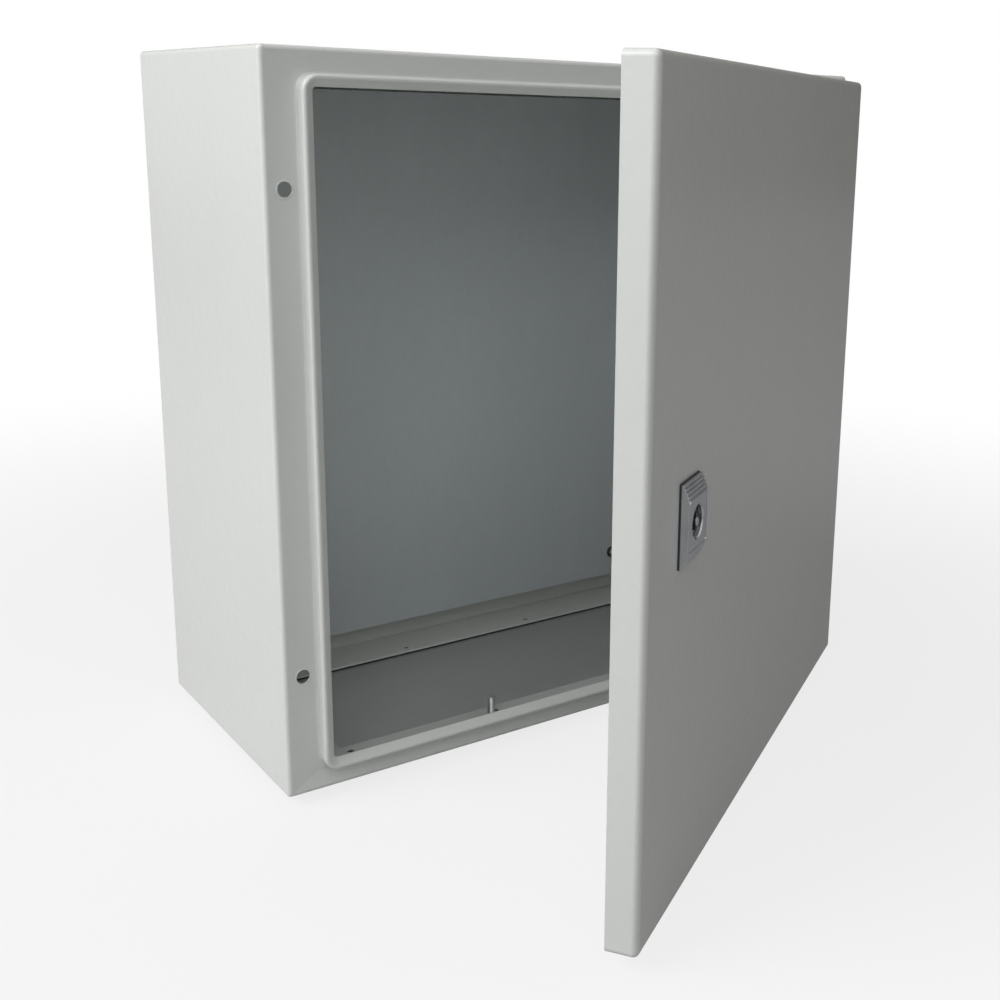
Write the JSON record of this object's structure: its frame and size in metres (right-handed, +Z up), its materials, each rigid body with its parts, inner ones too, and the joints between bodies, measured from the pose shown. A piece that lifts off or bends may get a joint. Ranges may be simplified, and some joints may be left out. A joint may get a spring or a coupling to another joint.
{
  "type": "steel wall enclosure",
  "caption": "Square wall-mounting sheet-steel cabinet with a hinged door, quarter-turn lock, gutter-and-lip front frame, gland plate and inner mounting plate.",
  "frame": {"origin": "middle of the four wall fixing holes, on the outer face of the back", "axes": "+Y out of the back, towards the wall; +Z up; +X to the right, seen from the front"},
  "size_m": [0.5, 0.5135, 0.507],
  "materials": {
    "powder_coat": "light grey textured powder coat",
    "zinc_sheet": "bluish grey zinc-coated sheet",
    "zinc_steel": "bright zinc-plated steel",
    "die_cast_zinc": "satin die-cast metal",
    "lock_insert_dark": "dark satin",
    "black_rubber": "matt",
    "seal_foam": "matt foamed-in-place seal"
  },
  "bodies": {
    "cabinet": {"body_wrap": "powder_coat", "back_panel": "powder_coat", "mounting_plate": "zinc_sheet", "plate_studs": "zinc_steel", "plate_spacers": "zinc_steel", "plate_washers": "black_rubber", "plate_nuts": "zinc_steel", "gland_plate": "zinc_sheet", "gland_gasket": "black_rubber", "gland_screws": "zinc_steel", "earth_stud": "zinc_steel", "upper_hinge_bracket": "die_cast_zinc", "lower_hinge_bracket": "die_cast_zinc", "hinge_bracket_bolts": "zinc_steel", "upper_hinge_pin": "zinc_steel", "lower_hinge_pin": "zinc_steel"},
    "door": {"upper_hinge_leaf": "zinc_steel", "lower_hinge_leaf": "zinc_steel", "hinge_leaf_studs": "zinc_steel", "hinge_leaf_nuts": "zinc_steel", "door_panel": "powder_coat", "door_gasket": "seal_foam", "door_earth_stud": "zinc_steel", "lock_housing": "die_cast_zinc", "lock_gasket": "black_rubber", "lock_nut": "zinc_steel"},
    "lock_spindle": {"lock_insert": "lock_insert_dark", "lock_cam": "zinc_steel", "cam_screw": "zinc_steel"}
  },
  "joints": [
    {"name": "door_hinge", "type": "hinge", "parent": "cabinet", "child": "door", "pos_m": [0.241, -0.242, 0], "axis": [0, 0, 1], "range_deg": [-33, 87]},
    {"name": "lock_turn", "type": "hinge", "parent": "door", "child": "lock_spindle", "pos_m": [-0.11443, -0.47043, -0.0075], "axis": [-0.5446, 0.8387, 0], "range_deg": [0, 90]}
  ]
}
